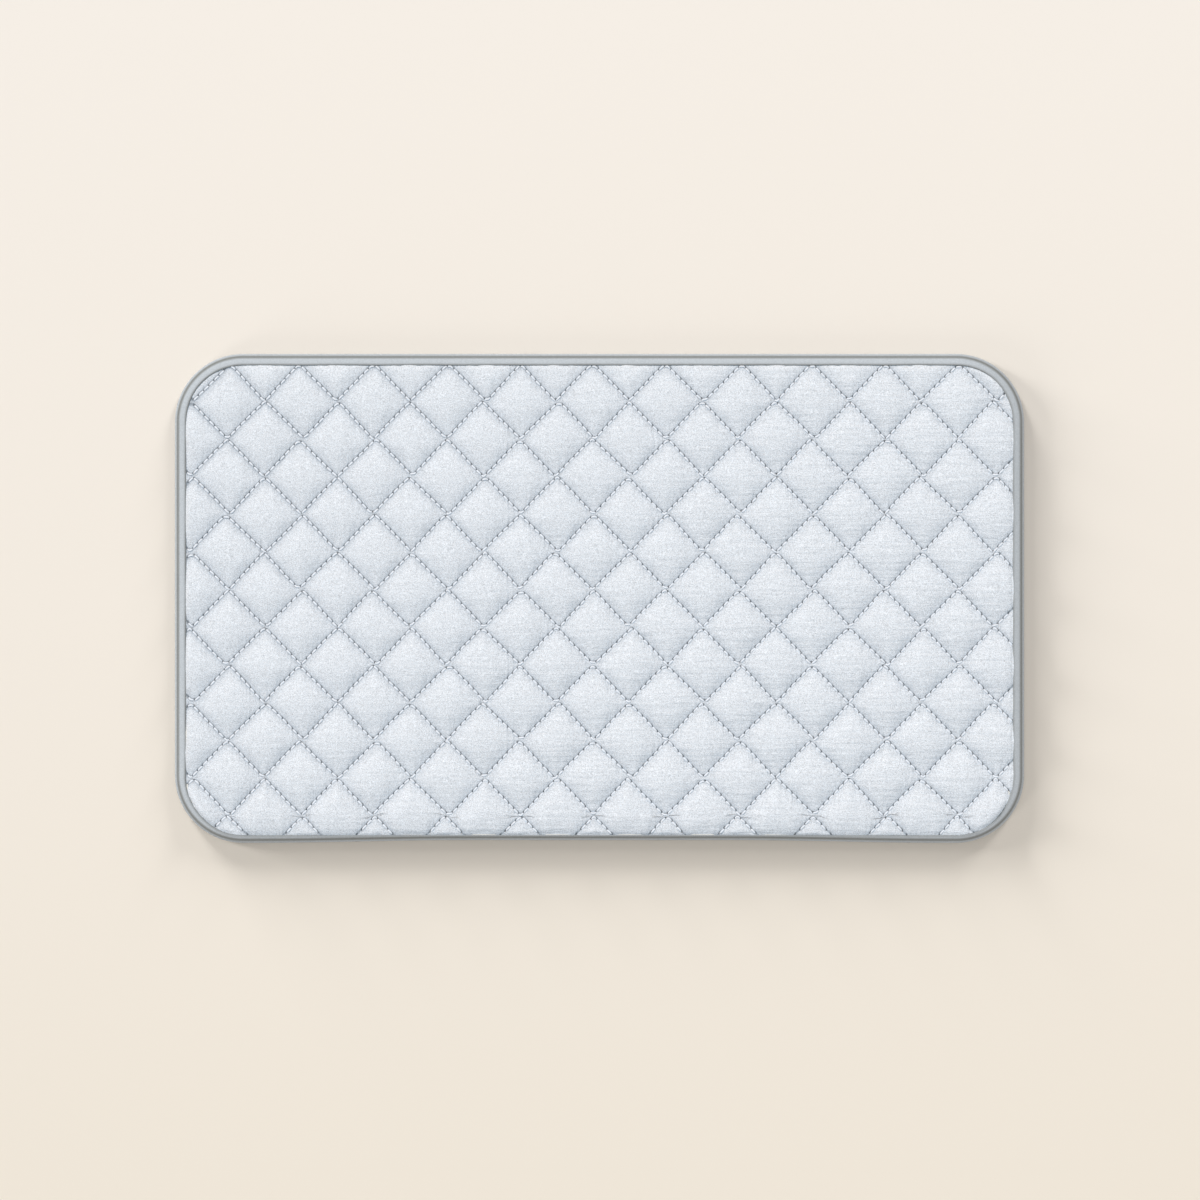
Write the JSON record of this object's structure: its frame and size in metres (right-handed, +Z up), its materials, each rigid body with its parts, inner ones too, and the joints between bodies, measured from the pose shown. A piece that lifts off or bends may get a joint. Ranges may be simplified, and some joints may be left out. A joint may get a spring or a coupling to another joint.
{
  "type": "ironing pad",
  "caption": "Flat quilted ironing pad with a pale diamond-quilted face cloth and a grey bound edge, laid on a table",
  "frame": {"origin": "on the table plane, under the middle of the pad", "axes": "+X along the long side, +Y along the short side towards the edge that is uppermost in the picture, +Z up out of the face cloth"},
  "size_m": [0.84, 0.48, 0.0105],
  "materials": {
    "face_cloth": "matte",
    "binding_tape": "matte",
    "sewing_thread": "matte",
    "backing_felt": "matte",
    "wadding": "matte",
    "barrier_cloth": "satin"
  },
  "bodies": {
    "root": {"face_cloth": "face_cloth", "upper_wadding": "wadding", "heat_barrier": "barrier_cloth", "underlay": "wadding", "backing_felt": "backing_felt", "edge_binding": "binding_tape", "binding_needle_thread": "sewing_thread", "binding_bobbin_thread": "sewing_thread", "needle_thread_01": "sewing_thread", "bobbin_thread_01": "sewing_thread", "needle_thread_02": "sewing_thread", "bobbin_thread_02": "sewing_thread", "needle_thread_03": "sewing_thread", "bobbin_thread_03": "sewing_thread", "needle_thread_04": "sewing_thread", "bobbin_thread_04": "sewing_thread", "needle_thread_05": "sewing_thread", "bobbin_thread_05": "sewing_thread", "needle_thread_06": "sewing_thread", "bobbin_thread_06": "sewing_thread", "needle_thread_07": "sewing_thread", "bobbin_thread_07": "sewing_thread", "needle_thread_08": "sewing_thread", "bobbin_thread_08": "sewing_thread", "needle_thread_09": "sewing_thread", "bobbin_thread_09": "sewing_thread", "needle_thread_10": "sewing_thread", "bobbin_thread_10": "sewing_thread", "needle_thread_11": "sewing_thread", "bobbin_thread_11": "sewing_thread", "needle_thread_12": "sewing_thread", "bobbin_thread_12": "sewing_thread"}
  },
  "joints": []
}
